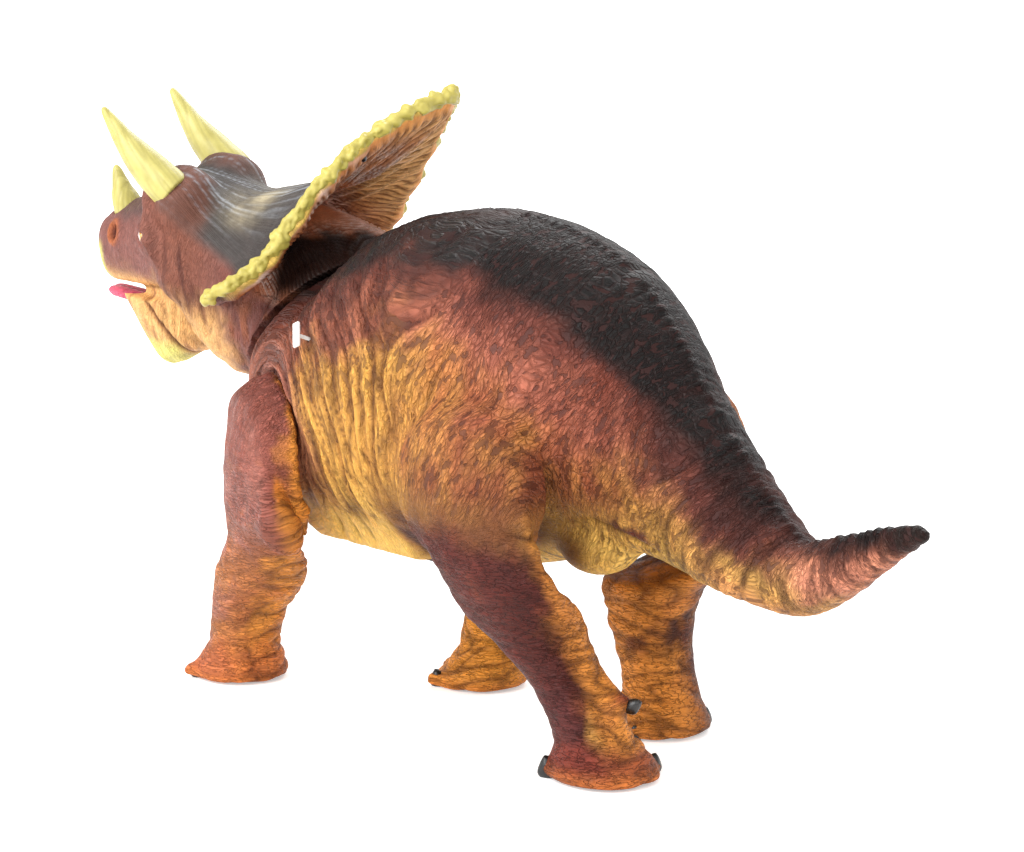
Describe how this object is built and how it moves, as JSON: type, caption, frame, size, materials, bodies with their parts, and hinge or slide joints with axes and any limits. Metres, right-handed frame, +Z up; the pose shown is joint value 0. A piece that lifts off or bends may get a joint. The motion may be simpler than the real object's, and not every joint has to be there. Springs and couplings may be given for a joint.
{
  "type": "toy dinosaur figure",
  "caption": "Large hollow soft-vinyl horned dinosaur toy with a pleated, scalloped neck frill, turning head, swinging front legs and a push-button sound unit in the belly.",
  "frame": {"origin": "under the middle of the figure's bounding box, on the plane of its soles", "axes": "+X towards the head, +Y to the figure's left, +Z up"},
  "size_m": [0.3328, 0.1158, 0.1827],
  "materials": {
    "skin": "satin",
    "head_skin": "satin",
    "horn_vinyl": "satin",
    "mouth": "gloss",
    "eye": "gloss",
    "white_plastic": "satin",
    "black_plastic": "satin",
    "steel": "satin",
    "cell_steel": "gloss",
    "contact": "satin",
    "copper": "satin",
    "board": "satin"
  },
  "bodies": {
    "torso": {"torso_shell": "skin", "hind_left_leg": "skin", "hind_right_leg": "skin", "tag_fastener": "white_plastic", "sound_unit_cover": "black_plastic", "sound_unit_case": "black_plastic", "battery_door": "black_plastic", "front_left_unit_screw": "steel", "front_right_unit_screw": "steel", "rear_left_unit_screw": "steel", "rear_right_unit_screw": "steel", "door_screw": "steel", "left_button_cell": "cell_steel", "middle_button_cell": "cell_steel", "right_button_cell": "cell_steel", "left_cell_contact": "contact", "right_cell_contact": "contact", "speaker": "black_plastic", "left_speaker_lead": "copper", "right_speaker_lead": "copper", "circuit_board": "board", "switch_block": "black_plastic"},
    "head": {"head_shell": "head_skin", "lower_jaw": "head_skin", "tongue": "mouth", "left_brow_horn": "horn_vinyl", "right_brow_horn": "horn_vinyl", "nose_horn": "horn_vinyl", "left_eye": "eye", "right_eye": "eye"},
    "left_foreleg": {"front_left_leg": "skin"},
    "right_foreleg": {"front_right_leg": "skin"},
    "button": {"push_button": "black_plastic"}
  },
  "joints": [
    {"name": "head_turn", "type": "hinge", "parent": "torso", "child": "head", "pos_m": [0.08023, -0.00078, 0.111], "axis": [0.7071, 0, 0.7071], "range_deg": [-12, 12]},
    {"name": "left_foreleg_swing", "type": "hinge", "parent": "torso", "child": "left_foreleg", "pos_m": [0.06023, 0.03722, 0.076], "axis": [0.342, 0.9397, 0], "range_deg": [-20, 20]},
    {"name": "right_foreleg_swing", "type": "hinge", "parent": "torso", "child": "right_foreleg", "pos_m": [0.06023, -0.03878, 0.076], "axis": [-0.342, 0.9397, 0], "range_deg": [-20, 20]},
    {"name": "button_press", "type": "slide", "parent": "torso", "child": "button", "axis": [0, 0, 1], "range_m": [0, 0.001], "stiffness_N_per_m": 600, "springref_m": -0.0005}
  ]
}
